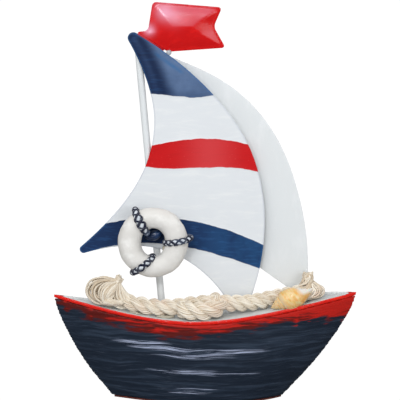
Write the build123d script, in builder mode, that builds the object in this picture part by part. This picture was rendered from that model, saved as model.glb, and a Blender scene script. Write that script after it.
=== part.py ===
from build123d import *
from math import cos, radians, sin, tan
import os

os.makedirs("parts", exist_ok=True)

# A table-top sailboat ornament: a carved hull, tin sails on a leaning rod mast, a lifebuoy,
# a length of twisted rope and a sea shell glued along the deck.
# X runs from bow to stern, -Y is the dressed side, Z is up and Z = 0 is the table.

# ---------------------------------------------------------------- driving dimensions (mm)
base_thickness = 1.0
base_inset = 0.5
bow_inset = 1.5
stern_inset = 1.0

# Waterlines of the hull: height, bow end, stern end, half breadth.
waterlines = [
    (base_thickness, -56.8, 47.6, 17.8),
    (11.0, -64.8, 56.8, 20.5),
    (23.0, -73.7, 67.3, 22.6),
    (42.0, -84.2, 81.0, 24.0),
    (56.0, -90.0, 88.9, 24.5),
    (66.0, -91.4, 91.6, 24.6),
]
# Half of the leaf-shaped plan: share of the length, share of the half breadth.
plan_shape = [(0, 0), (0.1, 0.29), (0.3, 0.75), (0.55, 1.0), (0.8, 0.74), (0.92, 0.38), (1, 0)]
# The sheer: the curve that the deck edge follows in the side view.
sheer_points = [(-92, 64.2), (-54, 56.6), (-9, 52.2), (38, 57.2), (92, 65.4)]
hull_height_margin = 30.0
half_band_width = 40.0

rim_height = 2.2
rim_width = 2.4
rim_bow_tip = 5.6
rim_stern_tip = 4.0
rim_overhang = 0.3
deck_drop = 0.3
deck_bottom = 42.0

mast_diameter = 4.2
mast_lean = 5.0
mast_foot_x = -25.7
mast_foot_z = 53.0
mast_socket_depth = 20.0
mast_length_above_deck = 166.5

sheet_thickness = 1.0
fore_tab_bottom = 49.2
aft_tab_bottom = 55.7

flag_flange = 0.8
flag_dome_height = 3.4
flag_taper = 38.0
flag_corner_radius = 1.3

buoy_center = (-30.8, 98.2)
buoy_ring_radius = 14.7
buoy_tube_radius = 6.3
wrap_cord_radius = 1.8
wrap_clearance = 0.2
buoy_sail_gap = 0.1
wrap_angles = {"lifebuoy_wrap_bow": 119.3, "lifebuoy_wrap_stern": 5.7, "lifebuoy_wrap_foot": 245.0}
wrap_skews = {"lifebuoy_wrap_bow": -2.0, "lifebuoy_wrap_stern": 4.8, "lifebuoy_wrap_foot": -27.0}

solder_radius = 1.9
solder_beside_mast = 0.5
solder_off_center = 0.6
flag_solder_radius = 1.6
fore_solder_heights = [203.5, 127.0]
aft_solder_height = 208.5
flag_solder_center = (-21.3, -2.9, 210.2)
glue_center = (-30.6, -3.1, 103.0)
glue_radius = 5.2
glue_reach = 8.6
wrap_glue_center = (-23.4, -13.5, 94.6)
wrap_glue_radius = 2.2

rope_diameter = 10.4
# The rope's centre line along the dressed side of the deck, bow end first.
rope_route = [
    (-58.0, -4.0, 62.4),
    (-40.0, -9.5, 59.6),
    (-25.0, -12.8, 58.0),
    (-9.0, -12.4, 60.2),
    (7.0, -12.0, 61.4),
    (21.0, -11.4, 60.6),
    (33.0, -8.8, 61.5),
    (46.0, -5.2, 63.7),
    (61.0, -3.4, 66.2),
]
knot_center = (-3.3, -17.2, 59.3)
knot_length = 28.0
knot_radius = 6.8
knot_end_radius = 5.0
bow_fray_front = 6.5
bow_fray_width = 10.0
stern_fray_front = 8.2
stern_fray_width = 9.8
rope_glue_size = (6.0, 3.2, 2.4)
rope_glue_places = [(-40.0, -9.5, 53.4), (-24.0, -12.8, 52.4), (46.0, -5.2, 57.6)]
shell_glue_center = (55.0, -13.6, 59.2)
shell_glue_size = (5.0, 2.6, 2.6)

shell_tip = (40.0, -14.8, 59.6)
shell_length = 26.6
shell_tilt = 25.0
# The shell's turned profile: distance from the spire's tip, radius.
shell_profile = [(0.0, 0.5), (4.5, 2.1), (9.0, 4.5), (14.5, 6.1), (20.0, 4.9), (shell_length, 0.9)]

mast_radius = mast_diameter / 2
fore_sail_front = -(mast_radius + sheet_thickness)
aft_sail_front = mast_radius
rope_radius = rope_diameter / 2
buoy_y = fore_sail_front - buoy_tube_radius - wrap_clearance - 2 * wrap_cord_radius - buoy_sail_gap


def leaf_face(bow_x, stern_x, half_breadth):
    """The leaf-shaped plan as a face on the XY plane."""
    length = stern_x - bow_x
    side = [(bow_x + length * along, half_breadth * out) for along, out in plan_shape]
    with BuildSketch(Plane.XY, mode=Mode.PRIVATE) as leaf:
        with BuildLine():
            Spline(*side)
            Spline(*[(x, -y) for x, y in side])
        make_face()
    return leaf.sketch


def sheer_band(top_drop, bottom_drop):
    """Solid between two copies of the sheer, as wide as the hull, for cutting pieces to it."""
    top = [(x, z - top_drop) for x, z in sheer_points]
    bottom = [(x, z - bottom_drop) for x, z in sheer_points]
    with BuildPart(mode=Mode.PRIVATE) as band:
        with BuildSketch(Plane.XZ):
            with BuildLine():
                Spline(*top)
                Line(top[-1], bottom[-1])
                Spline(*reversed(bottom))
                Line(bottom[0], top[0])
            make_face()
        extrude(amount=half_band_width, both=True)
    return band.part


def hull_form(outward):
    """The lofted hull from its waterlines, grown outward by an even amount."""
    with BuildPart(mode=Mode.PRIVATE) as form:
        for height, bow_x, stern_x, half_breadth in waterlines:
            with BuildSketch(Plane.XY.offset(height)):
                add(leaf_face(bow_x - outward, stern_x + outward, half_breadth + outward))
        loft()
    return form.part


def save(builder, name):
    """Label a finished piece and write its STEP file."""
    builder.part.label = name
    export_step(builder.part, "parts/" + name + ".step")


# ---------------------------------------------------------------- mast, set by its own plane
mast_foot = (mast_foot_x, 0, mast_foot_z)
mast_direction = (-sin(radians(mast_lean)), 0, cos(radians(mast_lean)))
mast_plane = Plane(origin=mast_foot, x_dir=(0, 1, 0), z_dir=mast_direction)

with BuildPart() as mast:
    with BuildSketch(mast_plane.offset(-mast_socket_depth)):
        Circle(mast_radius)
    extrude(amount=mast_socket_depth + mast_length_above_deck)
    chamfer(mast.edges().group_by(Axis.Z)[-1], length=0.5)
save(mast, "mast")

# ---------------------------------------------------------------- sails, cut from tin sheet
with BuildPart() as fore_sail:
    with BuildSketch(Plane.XZ.offset(-fore_sail_front - sheet_thickness)):
        with BuildLine():
            Spline((-45.4, 217.6), (-36.0, 197.8), (-30.2, 172.0), (-35.4, 142.9), (-59.4, 108.0),
                   (-74.9, 93.4))
            ThreePointArc((-74.9, 93.4), (-75.0, 91.0), (-72.0, 90.0))
            Spline((-72.0, 90.0), (-51.0, 94.0), (-24.0, 91.4), (-9.0, 84.0), (10.3, 65.3))
            Polyline((10.3, 65.3), (14.0, 60.0), (14.0, fore_tab_bottom), (27.0, fore_tab_bottom),
                     (28.2, 63.5))
            Spline((28.2, 63.5), (34.8, 92.0), (35.3, 119.7), (25.2, 156.4), (4.7, 185.4),
                   (-18.6, 206.6), (-39.5, 220.6))
            ThreePointArc((-39.5, 220.6), (-43.6, 221.8), (-45.4, 217.6))
        make_face()
    extrude(amount=sheet_thickness)
save(fore_sail, "fore_sail")

with BuildPart() as aft_sail:
    with BuildSketch(Plane.XZ.offset(-aft_sail_front - sheet_thickness)):
        with BuildLine():
            Spline((-40.5, 212.0), (-28.0, 184.0), (-15.0, 135.0), (10.0, 97.0))
            Polyline((10.0, 97.0), (34.0, 79.2), (50.5, 67.4), (50.5, aft_tab_bottom),
                     (60.0, aft_tab_bottom), (62.3, 72.0))
            Spline((62.3, 72.0), (62.2, 87.4), (55.4, 127.9), (39.1, 164.9), (14.6, 190.1),
                   (-15.7, 205.4), (-38.0, 213.6))
            ThreePointArc((-38.0, 213.6), (-40.3, 213.8), (-40.5, 212.0))
        make_face()
    extrude(amount=sheet_thickness)
save(aft_sail, "aft_sail")

# ---------------------------------------------------------------- pennant, pressed from tin
flag_back = fore_sail_front + sheet_thickness + flag_flange
# One outline with a raised field; a hidden tab runs down behind the head of the fore sail.
flag_corners = [(-40.8, 222.2), (-33.7, 222.9), (-30.9, 239.9), (10.0, 236.6), (5.1, 225.3),
                (12.1, 212.9), (-22.1, 210.5)]
flag_field = [(-30.5, 219.5), (-27.8, 236.6), (6.0, 233.8), (2.4, 225.0), (7.6, 215.8),
              (-19.0, 213.8)]
flag_tab = [(-40.0, 222.0), (-23.5, 212.0), (-27.5, 210.2), (-39.5, 217.5)]

with BuildPart() as flag:
    with BuildSketch(Plane.XZ.offset(-flag_back)):
        with BuildLine():
            Polyline(*flag_corners, close=True)
        make_face()
        fillet(vertices(), radius=flag_corner_radius)
        with BuildLine():
            Polyline(*flag_tab, close=True)
        make_face()
    extrude(amount=flag_flange)
    with BuildSketch(Plane.XZ.offset(-flag_back)):
        with BuildLine():
            Polyline(*flag_field, close=True)
        make_face()
    extrude(amount=flag_dome_height, taper=flag_taper)
    with BuildSketch(Plane.XZ.offset(-flag_back)):
        with BuildLine():
            Polyline(*flag_field, close=True)
        make_face()
        offset(amount=-flag_flange, kind=Kind.INTERSECTION, mode=Mode.REPLACE)
    extrude(amount=flag_dome_height - flag_flange, taper=flag_taper, mode=Mode.SUBTRACT)
    add(mast.part, mode=Mode.SUBTRACT)
save(flag, "flag")

# ---------------------------------------------------------------- base, hull, deck and rim
with BuildPart() as base_board:
    height, bow_x, stern_x, half_breadth = waterlines[0]
    with BuildSketch(Plane.XY):
        add(leaf_face(bow_x + bow_inset, stern_x - stern_inset, half_breadth - base_inset))
    extrude(amount=base_thickness)
save(base_board, "base_board")

with BuildPart() as hull_body:
    add(hull_form(0))
    add(sheer_band(-hull_height_margin, rim_height), mode=Mode.SUBTRACT)
    add(mast.part, mode=Mode.SUBTRACT)
    add(fore_sail.part, mode=Mode.SUBTRACT)
    add(aft_sail.part, mode=Mode.SUBTRACT)
save(hull_body, "hull_body")

height, bow_x, stern_x, half_breadth = waterlines[-1]
rim_inside = (bow_x + rim_bow_tip, stern_x - rim_stern_tip, half_breadth + rim_overhang - rim_width)

with BuildPart() as deck_board:
    with BuildSketch(Plane.XY.offset(deck_bottom)):
        add(leaf_face(*rim_inside))
    extrude(amount=hull_height_margin)
    add(sheer_band(-hull_height_margin, deck_drop), mode=Mode.SUBTRACT)
    add(sheer_band(rim_height, hull_height_margin), mode=Mode.SUBTRACT)
    add(mast.part, mode=Mode.SUBTRACT)
    add(fore_sail.part, mode=Mode.SUBTRACT)
    add(aft_sail.part, mode=Mode.SUBTRACT)
save(deck_board, "deck_board")

with BuildPart() as gunwale_rim:
    add(hull_form(rim_overhang))
    with BuildSketch(Plane.XY):
        add(leaf_face(*rim_inside))
    extrude(amount=2 * sheer_points[-1][1], mode=Mode.SUBTRACT)
    add(sheer_band(-hull_height_margin, 0), mode=Mode.SUBTRACT)
    add(sheer_band(rim_height, 2 * sheer_points[-1][1]), mode=Mode.SUBTRACT)
save(gunwale_rim, "gunwale_rim")

# ---------------------------------------------------------------- solder that holds the tin
def mast_x(z):
    """The mast's centre at height z."""
    return mast_foot_x - (z - mast_foot_z) * tan(radians(mast_lean))


with BuildPart() as fore_sail_solder:
    for z in fore_solder_heights:
        with Locations((mast_x(z) + mast_radius + solder_beside_mast, -solder_off_center, z)):
            Sphere(solder_radius)
    add(mast.part, mode=Mode.SUBTRACT)
    add(fore_sail.part, mode=Mode.SUBTRACT)
save(fore_sail_solder, "fore_sail_solder")

with BuildPart() as aft_sail_solder:
    beside_x = mast_x(aft_solder_height) + mast_radius + solder_beside_mast
    with Locations((beside_x, solder_off_center, aft_solder_height)):
        Sphere(solder_radius)
    add(mast.part, mode=Mode.SUBTRACT)
    add(aft_sail.part, mode=Mode.SUBTRACT)
save(aft_sail_solder, "aft_sail_solder")

with BuildPart() as flag_solder:
    with Locations(flag_solder_center):
        Sphere(flag_solder_radius)
    add(fore_sail.part, mode=Mode.SUBTRACT)
    add(flag.part, mode=Mode.SUBTRACT)
save(flag_solder, "flag_solder")

# ---------------------------------------------------------------- lifebuoy and its cord wraps
buoy_middle = (buoy_center[0], buoy_y, buoy_center[1])
with BuildPart() as lifebuoy_ring:
    with Locations(Plane(origin=buoy_middle, z_dir=(0, -1, 0))):
        Torus(buoy_ring_radius, buoy_tube_radius)
save(lifebuoy_ring, "lifebuoy_ring")

wraps = {}
for name, angle in wrap_angles.items():
    out = (cos(radians(angle)), 0, sin(radians(angle)))
    skewed = radians(angle + 90 + wrap_skews[name])
    around = (cos(skewed), 0, sin(skewed))
    middle = [buoy_middle[i] + out[i] * buoy_ring_radius for i in range(3)]
    with BuildPart() as wrap:
        with Locations(Plane(origin=middle, x_dir=(0, -1, 0), z_dir=around)):
            Torus(buoy_tube_radius + wrap_clearance + wrap_cord_radius, wrap_cord_radius)
        add(lifebuoy_ring.part, mode=Mode.SUBTRACT)
    save(wrap, name)
    wraps[name] = wrap

with BuildPart() as lifebuoy_glue:
    with BuildSketch(Plane(origin=glue_center, z_dir=(0, 0, 1))):
        with BuildLine():
            Spline((0, -glue_reach), (0.75 * glue_radius, -0.68 * glue_reach), (glue_radius, 0))
            Polyline((glue_radius, 0), (0, 0), (0, -glue_reach))
        make_face()
    revolve(axis=Axis(glue_center, (0, 1, 0)))
    add(lifebuoy_ring.part, mode=Mode.SUBTRACT)
    add(wraps["lifebuoy_wrap_bow"].part, mode=Mode.SUBTRACT)
save(lifebuoy_glue, "lifebuoy_glue")

with BuildPart() as wrap_glue:
    with Locations(wrap_glue_center):
        Sphere(wrap_glue_radius)
    add(lifebuoy_ring.part, mode=Mode.SUBTRACT)
    add(wraps["lifebuoy_wrap_stern"].part, mode=Mode.SUBTRACT)
save(wrap_glue, "wrap_glue")

# ---------------------------------------------------------------- rope glued along the deck
def turn_radii(points):
    """Radius of the arc at each corner of a route, as large as its runs leave room for."""
    radii = []
    for before, corner, after in zip(points, points[1:], points[2:]):
        run_in = Vector(*corner) - Vector(*before)
        run_out = Vector(*after) - Vector(*corner)
        turn = radians(run_in.get_angle(run_out))
        radii.append(0.45 * min(run_in.length, run_out.length) / tan(turn / 2))
    return radii


rope_radii = turn_radii(rope_route)
with BuildPart() as deck_rope:
    with BuildLine() as rope_line:
        FilletPolyline(*rope_route, radius=rope_radii)
    with BuildSketch(Plane(rope_line.line @ 0, z_dir=rope_line.line % 0)):
        Circle(rope_radius)
    sweep()
rope_length = sum(edge.length for edge in rope_line.edges())
print("rope length", round(rope_length, 1), "radii", [round(radius) for radius in rope_radii])
print("rope volume", round(deck_rope.part.volume), "of", round(rope_length * rope_radius**2 * 3.1416))
save(deck_rope, "deck_rope")

with BuildPart() as rope_knot:
    with BuildSketch(Plane(origin=knot_center, x_dir=(1, 0, 0), z_dir=(0, -1, 0))):
        with Locations((0, knot_radius / 2)):
            Rectangle(knot_length, knot_radius)
        fillet(vertices().group_by(Axis.Y)[-1], radius=knot_end_radius)
    revolve(axis=Axis(knot_center, (1, 0, 0)))
    add(deck_rope.part, mode=Mode.SUBTRACT)
    add(deck_board.part, mode=Mode.SUBTRACT)
save(rope_knot, "rope_knot")

with BuildPart() as rope_fray_bow:
    with BuildSketch(Plane.XZ.offset(bow_fray_front)):
        with BuildLine():
            Spline((-71.8, 65.5), (-67.0, 72.5), (-59.4, 76.2), (-54.0, 76.0), (-50.5, 78.0))
            Line((-50.5, 78.0), (-48.8, 76.3))
            Spline((-48.8, 76.3), (-50.5, 71.5), (-46.5, 65.2), (-46.0, 58.0))
            Line((-46.0, 58.0), (-58.0, 58.2))
            Spline((-58.0, 58.2), (-68.0, 60.8), (-71.8, 65.5))
        make_face()
    extrude(amount=-bow_fray_width)
    add(deck_rope.part, mode=Mode.SUBTRACT)
save(rope_fray_bow, "rope_fray_bow")

with BuildPart() as rope_fray_stern:
    with BuildSketch(Plane.XZ.offset(stern_fray_front)):
        with BuildLine():
            Spline((61.2, 61.6), (71.0, 63.2), (72.8, 65.2), (69.0, 70.0), (66.0, 73.5), (63.6, 78.4))
            Line((63.6, 78.4), (61.8, 78.4))
            Spline((61.8, 78.4), (59.5, 74.5), (57.8, 71.0), (61.2, 61.6))
        make_face()
    extrude(amount=-stern_fray_width)
    add(deck_rope.part, mode=Mode.SUBTRACT)
    add(deck_board.part, mode=Mode.SUBTRACT)
save(rope_fray_stern, "rope_fray_stern")

with BuildPart() as rope_glue:
    for x, y, z in rope_glue_places:
        with BuildSketch(Plane.XY.offset(z)):
            with Locations((x, y)):
                Ellipse(*rope_glue_size[:2])
        extrude(amount=rope_glue_size[2])
    add(deck_rope.part, mode=Mode.SUBTRACT)
    add(deck_board.part, mode=Mode.SUBTRACT)
save(rope_glue, "rope_glue")

# ---------------------------------------------------------------- sea shell
shell_direction = (cos(radians(shell_tilt)), 0, sin(radians(shell_tilt)))
with BuildPart() as shell:
    with BuildSketch(Plane(origin=shell_tip, x_dir=shell_direction, z_dir=(0, -1, 0))):
        with BuildLine():
            Spline(*shell_profile)
            Polyline(shell_profile[-1], (shell_length, 0), (0, 0), shell_profile[0])
        make_face()
    revolve(axis=Axis(shell_tip, shell_direction))
    add(deck_rope.part, mode=Mode.SUBTRACT)
    add(gunwale_rim.part, mode=Mode.SUBTRACT)
save(shell, "shell")

with BuildPart() as shell_glue:
    with BuildSketch(Plane.XY.offset(shell_glue_center[2])):
        with Locations(shell_glue_center[:2]):
            Ellipse(*shell_glue_size[:2])
    extrude(amount=shell_glue_size[2])
    add(shell.part, mode=Mode.SUBTRACT)
    add(deck_board.part, mode=Mode.SUBTRACT)
    add(gunwale_rim.part, mode=Mode.SUBTRACT)
save(shell_glue, "shell_glue")
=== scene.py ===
import math
import random

import bmesh
import bpy
import numpy as np
from mathutils import Matrix, Vector, noise


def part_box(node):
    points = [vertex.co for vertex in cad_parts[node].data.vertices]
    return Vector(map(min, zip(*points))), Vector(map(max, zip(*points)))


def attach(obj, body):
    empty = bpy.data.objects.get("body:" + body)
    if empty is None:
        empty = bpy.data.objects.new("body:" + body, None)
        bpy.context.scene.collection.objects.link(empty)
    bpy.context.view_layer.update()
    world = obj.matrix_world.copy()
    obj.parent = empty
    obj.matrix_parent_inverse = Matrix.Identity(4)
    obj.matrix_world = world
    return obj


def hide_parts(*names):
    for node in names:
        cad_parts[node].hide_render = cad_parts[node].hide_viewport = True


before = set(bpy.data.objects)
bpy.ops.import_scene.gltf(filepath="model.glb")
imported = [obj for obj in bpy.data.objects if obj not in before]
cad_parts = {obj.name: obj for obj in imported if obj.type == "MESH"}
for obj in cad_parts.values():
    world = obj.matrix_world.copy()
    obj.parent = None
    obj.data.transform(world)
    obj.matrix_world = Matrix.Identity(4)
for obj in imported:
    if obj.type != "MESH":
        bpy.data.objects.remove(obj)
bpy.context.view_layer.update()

scene = bpy.context.scene
mm = 0.001

# Camera first: the dressed side of the boat, from a little above the deck.
cameraSettings = {
    "target": (-3.0, 0.0, 121.6),
    "distance": 1000.0,
    "elevation": 9.0,
    "lens": 150.0,
}


def buildCamera(settings):
    target = Vector(settings["target"]) * mm
    lift = math.radians(settings["elevation"])
    away = Vector((0, -math.cos(lift), math.sin(lift))) * settings["distance"] * mm
    cameraData = bpy.data.cameras.new("boatCamera")
    cameraData.lens = settings["lens"]
    cameraData.sensor_width = 36.0
    camera = bpy.data.objects.new("boatCamera", cameraData)
    camera.location = target + away
    camera.rotation_euler = (-away).to_track_quat("-Z", "Y").to_euler()
    scene.collection.objects.link(camera)
    scene.camera = camera


buildCamera(cameraSettings)
print("camera set")


# ---- small tools for meshes

def finishMesh(bm, name):
    mesh = bpy.data.meshes.new(name)
    bm.to_mesh(mesh)
    bm.free()
    if "custom_normal" in mesh.attributes:
        mesh.attributes.remove(mesh.attributes["custom_normal"])
    for face in mesh.polygons:
        face.use_smooth = True
    return mesh


def newPiece(name, mesh, material, slotName, *cadNodes):
    mesh.materials.clear()
    mesh.materials.append(material)
    piece = bpy.data.objects.new(name, mesh)
    scene.collection.objects.link(piece)
    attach(piece, "root")
    if cadNodes:
        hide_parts(*cadNodes)
    return piece


def storeValues(mesh, name, values):
    attribute = mesh.attributes.new(name, "FLOAT", "POINT")
    attribute.data.foreach_set("value", [float(value) for value in values])


def mergedCopy(nodeName):
    bm = bmesh.new()
    bm.from_mesh(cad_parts[nodeName].data)
    bmesh.ops.remove_doubles(bm, verts=bm.verts, dist=0.01 * mm)
    return bm


# A CAD piece as a hand would leave it: fine even faces, softened edges, a little unevenness.
def carvedMesh(nodeName, settings):
    bm = mergedCopy(nodeName)
    rough = finishMesh(bm, nodeName + "Rough")
    block = bpy.data.objects.new(nodeName + "Rough", rough)
    scene.collection.objects.link(block)
    remesh = block.modifiers.new("evenFaces", "REMESH")
    remesh.mode = "VOXEL"
    remesh.voxel_size = settings["cell"] * mm
    bpy.context.view_layer.update()
    shown = block.evaluated_get(bpy.context.evaluated_depsgraph_get())
    even = bpy.data.meshes.new_from_object(shown)
    bpy.data.objects.remove(block)
    bm = bmesh.new()
    bm.from_mesh(even)
    for turn in range(settings["softening"]):
        bmesh.ops.smooth_vert(bm, verts=bm.verts, factor=0.5, use_axis_x=True, use_axis_y=True,
                              use_axis_z=True)
    bm.normal_update()
    across = settings["grain"]
    for vertex in bm.verts:
        place = Vector([vertex.co[i] / (across[i] * mm) for i in range(3)])
        vertex.co += vertex.normal * noise.fractal(place, 0.8, 2.0, 3) * settings["relief"] * mm
    return finishMesh(bm, nodeName + "Carved")


def gapToOutline(points, outline):
    starts = np.array(outline)
    runs = np.roll(starts, -1, axis=0) - starts
    gaps = np.full(len(points), 1.0)
    for start, run in zip(starts, runs):
        share = np.clip((points - start) @ run / max(run @ run, 1e-12), 0, 1)
        gaps = np.minimum(gaps, np.linalg.norm(points - start - share[:, None] * run, axis=1))
    return gaps


# ---- small tools for materials

def paint(red, green, blue):
    channels = []
    for value in (red, green, blue):
        share = value / 255
        channels.append(share / 12.92 if share < 0.04 else ((share + 0.055) / 1.055) ** 2.4)
    return (*channels, 1.0)


# A value that comes from another node is linked, and a fixed one is set on the socket.
def feed(tree, socket, value):
    if isinstance(value, bpy.types.NodeSocket):
        tree.links.new(value, socket)
    else:
        socket.default_value = value


def addNode(tree, kind, inputs=None, **settings):
    node = tree.nodes.new(kind)
    for name, value in settings.items():
        setattr(node, name, value)
    for name, value in (inputs or {}).items():
        feed(tree, node.inputs[name], value)
    return node


def startGroup(name, inputs, outputs):
    tree = bpy.data.node_groups.new(name, "ShaderNodeTree")
    for socketName, kind, value in inputs:
        socket = tree.interface.new_socket(socketName, in_out="INPUT",
                                           socket_type="NodeSocket" + kind)
        socket.default_value = value
    for socketName, kind in outputs:
        tree.interface.new_socket(socketName, in_out="OUTPUT", socket_type="NodeSocket" + kind)
    return tree, addNode(tree, "NodeGroupInput").outputs


def placeGroup(tree, group, inputs):
    node = tree.nodes.new("ShaderNodeGroup")
    node.node_tree = group
    for name, value in inputs.items():
        feed(tree, node.inputs[name], value)
    return node.outputs


def mathNode(tree, operation, *values, clamp=False):
    node = addNode(tree, "ShaderNodeMath", operation=operation, use_clamp=clamp)
    for i, value in enumerate(values):
        feed(tree, node.inputs[i], value)
    return node.outputs[0]


def mixColours(tree, share, first, second):
    node = tree.nodes.new("ShaderNodeMix")
    node.data_type = "RGBA"
    for i, value in ((0, share), (6, first), (7, second)):
        feed(tree, node.inputs[i], value)
    return node.outputs[2]


def stored(tree, name):
    return addNode(tree, "ShaderNodeAttribute", attribute_name=name).outputs["Fac"]


def startMaterial(name):
    material = bpy.data.materials.new(name)
    material.use_nodes = True
    tree = material.node_tree
    shader = tree.nodes["Principled BSDF"]
    return material, tree, shader


def addRelief(tree, shader, height, strength, distance):
    bump = addNode(tree, "ShaderNodeBump", {"Height": height, "Strength": strength, "Distance": distance})
    tree.links.new(bump.outputs["Normal"], shader.inputs["Normal"])


# ---- effects shared by several finishes

# Long hand brush strokes: Spacing is how many strokes to the metre along each axis.
def buildStrokes():
    tree, given = startGroup("brushStrokes", [
        ("Spacing", "Vector", (60, 60, 900)), ("Cover", "Float", 0.5), ("Softness", "Float", 0.1),
    ], [("Strokes", "Float"), ("Height", "Float")])
    place = addNode(tree, "ShaderNodeTexCoord").outputs["Object"]
    wander = addNode(tree, "ShaderNodeTexNoise", {"Vector": place, "Scale": 35.0, "Detail": 1.0})
    bent = addNode(tree, "ShaderNodeVectorMath", operation="SCALE",
                   inputs={0: wander.outputs["Color"], "Scale": 0.006}).outputs[0]
    moved = addNode(tree, "ShaderNodeVectorMath", {0: place, 1: bent}, operation="ADD").outputs[0]
    spaced = addNode(tree, "ShaderNodeVectorMath", {0: moved, 1: given["Spacing"]},
                     operation="MULTIPLY").outputs[0]
    bristles = addNode(tree, "ShaderNodeTexNoise", {"Vector": spaced, "Scale": 1.0, "Detail": 3.0,
                                                    "Roughness": 0.6}).outputs["Fac"]
    low = mathNode(tree, "SUBTRACT", 1.0, given["Cover"])
    high = mathNode(tree, "ADD", low, given["Softness"])
    mask = addNode(tree, "ShaderNodeMapRange", {"Value": bristles, "From Min": low, "From Max": high},
                   interpolation_type="SMOOTHSTEP").outputs["Result"]
    addNode(tree, "NodeGroupOutput", {"Strokes": mask, "Height": bristles})
    return tree


# A painted edge that wanders as a hand does: Reach is the signed distance into the painted side.
def buildPaintEdge():
    tree, given = startGroup("paintEdge", [
        ("Reach", "Float", 0.0), ("Wander", "Float", 0.0006), ("Spacing", "Vector", (150, 150, 150)),
        ("Softness", "Float", 0.00025),
    ], [("Painted", "Float"), ("Bead", "Float")])
    place = addNode(tree, "ShaderNodeTexCoord").outputs["Object"]
    spaced = addNode(tree, "ShaderNodeVectorMath", {0: place, 1: given["Spacing"]},
                     operation="MULTIPLY").outputs[0]
    shake = addNode(tree, "ShaderNodeTexNoise", {"Vector": spaced, "Scale": 1.0, "Detail": 2.0})
    centred = mathNode(tree, "SUBTRACT", shake.outputs["Fac"], 0.5)
    pushed = mathNode(tree, "MULTIPLY_ADD", centred, mathNode(tree, "MULTIPLY", given["Wander"], 2.0),
                      given["Reach"])
    low = mathNode(tree, "MULTIPLY", given["Softness"], -1.0)
    mask = addNode(tree, "ShaderNodeMapRange", {"Value": pushed, "From Min": low,
                                                "From Max": given["Softness"]},
                   interpolation_type="SMOOTHSTEP").outputs["Result"]
    edge = mathNode(tree, "ABSOLUTE", pushed)
    bead = addNode(tree, "ShaderNodeMapRange", {"Value": edge, "From Min": 0.0012, "From Max": 0.0},
                   interpolation_type="SMOOTHSTEP").outputs["Result"]
    addNode(tree, "NodeGroupOutput", {"Painted": mask, "Bead": bead})
    return tree


# Dust, pin holes and specks left in the paint.
def buildSpecks():
    tree, given = startGroup("specks", [("Scale", "Float", 400.0), ("Cover", "Float", 0.3)],
                             [("Specks", "Float"), ("Cloud", "Float")])
    place = addNode(tree, "ShaderNodeTexCoord").outputs["Object"]
    cells = addNode(tree, "ShaderNodeTexVoronoi", {"Vector": place, "Scale": given["Scale"]})
    cloud = addNode(tree, "ShaderNodeTexNoise", {"Vector": place, "Scale": 90.0, "Detail": 3.0,
                                                 "Roughness": 0.55}).outputs["Fac"]
    limit = mathNode(tree, "MULTIPLY", given["Cover"], cloud)
    mask = addNode(tree, "ShaderNodeMapRange", {"Value": cells.outputs["Distance"], "From Min": limit,
                                                "From Max": 0.0}).outputs["Result"]
    addNode(tree, "NodeGroupOutput", {"Specks": mask, "Cloud": cloud})
    return tree


brushStrokes = buildStrokes()
paintEdge = buildPaintEdge()
specks = buildSpecks()


# ---- finishes

def makeHullPaint(look):
    material, tree, shader = startMaterial("hullPaint")
    slow = placeGroup(tree, brushStrokes, {"Spacing": (25, 40, 420), "Cover": 0.55, "Softness": 0.25})
    fine = placeGroup(tree, brushStrokes, {"Spacing": (70, 90, 1500), "Cover": 0.42, "Softness": 0.12})
    cloud = placeGroup(tree, specks, {"Scale": 500.0, "Cover": 0.35})
    colour = mixColours(tree, slow["Strokes"], look["deep"], look["slate"])
    faint = mathNode(tree, "MULTIPLY", fine["Strokes"], 0.3)
    colour = mixColours(tree, faint, colour, look["worn"])
    brown = placeGroup(tree, paintEdge, {"Reach": stored(tree, "redBlend"), "Wander": 0.007,
                                         "Spacing": (90, 90, 420), "Softness": 0.0016})
    colour = mixColours(tree, brown["Painted"], colour, look["brown"])
    redStroke = placeGroup(tree, brushStrokes, {"Spacing": (55, 60, 520), "Cover": 0.62,
                                                "Softness": 0.1})
    hot = mathNode(tree, "SUBTRACT", mathNode(tree, "ADD", stored(tree, "redHot"),
                                              redStroke["Height"]), 0.95)
    hot = mathNode(tree, "MULTIPLY", hot, 7.0, clamp=True)
    hot = mathNode(tree, "MULTIPLY", hot, brown["Painted"])
    colour = mixColours(tree, hot, colour, look["red"])
    # pale dry-brush strokes, partly real paint and partly painted reflection on the brush ridges
    dry = placeGroup(tree, brushStrokes, {"Spacing": (36, 36, 2300), "Cover": 0.5,
                                          "Softness": 0.06})
    chalkAndSheen = mathNode(tree, "MULTIPLY", dry["Strokes"], stored(tree, "dryBrushAndSheen"))
    colour = mixColours(tree, chalkAndSheen, colour, look["chalkAndSheen"])
    tree.links.new(colour, shader.inputs["Base Color"])
    rough = mathNode(tree, "MULTIPLY_ADD", cloud["Cloud"], 0.2, 0.36)
    tree.links.new(rough, shader.inputs["Roughness"])
    height = mathNode(tree, "MULTIPLY_ADD", fine["Height"], 0.6, slow["Height"])
    height = mathNode(tree, "MULTIPLY_ADD", chalkAndSheen, 0.3, height)
    addRelief(tree, shader, height, 0.55, 0.0009)
    shader.inputs["Specular IOR Level"].default_value = 0.15
    shader.inputs["Coat Weight"].default_value = 0.05
    shader.inputs["Coat Roughness"].default_value = 0.3
    return material


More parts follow.
